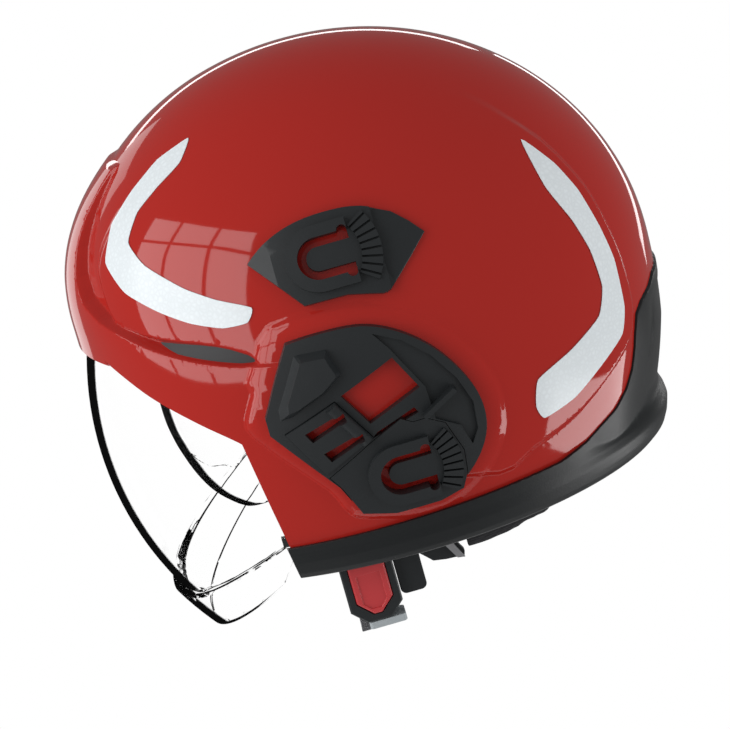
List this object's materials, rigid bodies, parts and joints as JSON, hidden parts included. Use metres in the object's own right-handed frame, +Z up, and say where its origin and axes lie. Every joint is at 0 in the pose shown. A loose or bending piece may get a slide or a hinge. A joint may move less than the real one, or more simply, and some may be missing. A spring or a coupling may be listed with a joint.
{
  "type": "jet style fire helmet",
  "caption": "Red jet style fire helmet with clear face shield, inner ocular visor, black side covers and lamp brackets, neck guard, liner, ratchet headband and chin strap.",
  "frame": {"origin": "middle of the wearer's head at the height of the ear canals", "axes": "+X to the wearer's left, -Y to the front, +Z up"},
  "size_m": [0.2586, 0.2937, 0.2871],
  "materials": {
    "shell_red": "high gloss lacquer",
    "reflective": "retroreflective film",
    "clear": "clear hard coated polycarbonate",
    "tab_red": "satin",
    "grey_plastic": "satin",
    "steel": "brushed",
    "rubber_black": "semi matte",
    "foam": "moulded hard foam",
    "padding": "flame resistant fabric",
    "webbing": "woven",
    "plastic_black": "fine grained satin"
  },
  "bodies": {
    "helmet": {"adapter_clip_left": "plastic_black", "adapter_clip_right": "plastic_black", "brow_pad": "padding", "buckle_body": "plastic_black", "buckle_tongue": "grey_plastic", "chin_band": "webbing", "chin_pad": "padding", "crown_pad": "padding", "front_sticker_left": "reflective", "front_sticker_right": "reflective", "headband": "plastic_black", "impact_liner": "foam", "lower_lamp_bracket_left": "plastic_black", "lower_lamp_bracket_right": "plastic_black", "neck_guard": "rubber_black", "neck_pad_left": "padding", "neck_pad_right": "padding", "ocular_mount_left": "steel", "ocular_mount_right": "steel", "outer_shell": "shell_red", "pivot_mount_left": "plastic_black", "pivot_mount_right": "plastic_black", "pivot_screws": "steel", "rear_sticker_left": "reflective", "rear_sticker_right": "reflective", "side_cover_left": "plastic_black", "side_cover_right": "plastic_black", "slider_bar_left": "steel", "slider_bar_right": "steel", "strap_anchors_left": "plastic_black", "strap_anchors_right": "plastic_black", "strap_divider_left": "plastic_black", "strap_divider_right": "plastic_black", "strap_slider_left": "plastic_black", "strap_slider_right": "plastic_black", "upper_lamp_bracket_left": "plastic_black", "upper_lamp_bracket_right": "plastic_black", "webbing_left": "webbing", "webbing_right": "webbing"},
    "face_shield": {"face_shield": "clear", "shield_hinge_left": "plastic_black", "shield_hinge_right": "plastic_black", "shield_hook_left": "plastic_black", "shield_hook_right": "plastic_black"},
    "ocular": {"ocular_arm_left": "plastic_black", "ocular_arm_right": "plastic_black", "ocular_visor": "clear"},
    "nape": {"nape_band": "plastic_black", "nape_pad": "padding", "ratchet_housing": "plastic_black"},
    "knob": {"ratchet_knob": "plastic_black"},
    "press_tab": {"press_tab": "tab_red"}
  },
  "joints": [
    {"name": "face_shield_hinge", "type": "hinge", "parent": "helmet", "child": "face_shield", "pos_m": [0, 0.025, -0.01], "axis": [-1, 0, 0], "range_deg": [0, 45]},
    {"name": "ocular_hinge", "type": "hinge", "parent": "helmet", "child": "ocular", "pos_m": [0, -0.028, 0.056], "axis": [-1, 0, 0], "range_deg": [0, 24]},
    {"name": "nape_slide", "type": "slide", "parent": "helmet", "child": "nape", "axis": [0, -1, 0], "range_m": [0, 0.01]},
    {"name": "knob_turn", "type": "hinge", "parent": "nape", "child": "knob", "pos_m": [0, 0.117, -0.063], "axis": [0, 1, 0], "range_deg": [0, 360]},
    {"name": "tab_press", "type": "slide", "parent": "helmet", "child": "press_tab", "axis": [-1, 0, 0], "range_m": [0, 0.002], "stiffness_N_per_m": 1500, "springref_m": -0.001}
  ],
  "couplings": [
    {"joint": "knob_turn", "follows": "nape_slide", "rad_per_m": 628.32}
  ]
}
